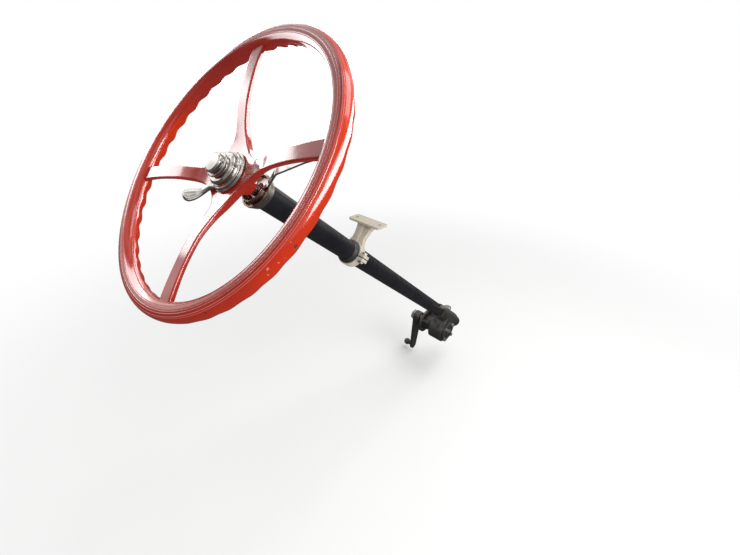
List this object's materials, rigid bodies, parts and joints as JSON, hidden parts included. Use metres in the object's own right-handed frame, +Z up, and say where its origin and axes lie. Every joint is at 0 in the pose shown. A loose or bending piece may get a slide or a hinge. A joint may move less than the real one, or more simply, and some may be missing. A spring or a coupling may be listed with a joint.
{
  "type": "steering wheel and column",
  "caption": "Steering wheel on a raked column with light-switch lever, spark and throttle levers, dash clamp, worm gear and drop arm; the wheel turns the arm.",
  "frame": {"origin": "centre of the steering gear's frame flange face, on the sector shaft's axis", "axes": "+X to the car's right, away from the frame rail; +Y to the car's front; +Z up"},
  "size_m": [0.4444, 1.0908, 1.0987],
  "materials": {
    "wheel_red": "glossy moulded red",
    "nickel": "bright plating",
    "jacket_black": "semi-gloss black enamel",
    "quadrant_bronze": "aged bronze bush",
    "bracket_cream": "cream enamel",
    "rubber": "matt black rubber",
    "gear_paint": "black paint on cast iron",
    "steel": "worn bright steel",
    "switch_black": "black moulded case"
  },
  "bodies": {
    "column": {"gear_housing": "gear_paint", "sector_cover": "gear_paint", "worm_end_cover": "gear_paint", "oil_plug": "steel", "light_switch": "switch_black", "column_jacket": "jacket_black", "lower_bush": "quadrant_bronze", "control_quadrant": "nickel", "quadrant_shield": "nickel", "spark_lever": "nickel", "throttle_lever": "nickel", "spark_rod": "steel", "throttle_rod": "steel", "spark_arm": "steel", "throttle_arm": "steel", "dash_bracket": "bracket_cream", "clamp_cap": "bracket_cream", "clamp_rubber": "rubber", "clamp_bolts": "steel", "switch_tube": "steel", "switch_lever": "nickel", "horn_button": "nickel"},
    "wheel": {"wheel_rim": "wheel_red", "wheel_spider": "wheel_red", "wheel_nut": "steel", "steering_shaft": "steel"},
    "drop": {"sector_shaft": "steel", "drop_arm": "gear_paint", "drop_nut": "steel"}
  },
  "joints": [
    {"name": "wheel_turn", "type": "hinge", "parent": "column", "child": "wheel", "pos_m": [0.075, -0.79835, 0.7443], "axis": [0, -0.766, 0.6428], "range_deg": [-370, 370]},
    {"name": "drop_arm_swing", "type": "hinge", "parent": "column", "child": "drop", "pos_m": [0, 0, 0], "axis": [1, 0, 0], "range_deg": [-33, 33]}
  ],
  "couplings": [
    {"joint": "drop_arm_swing", "follows": "wheel_turn", "ratio": 0.088889}
  ]
}
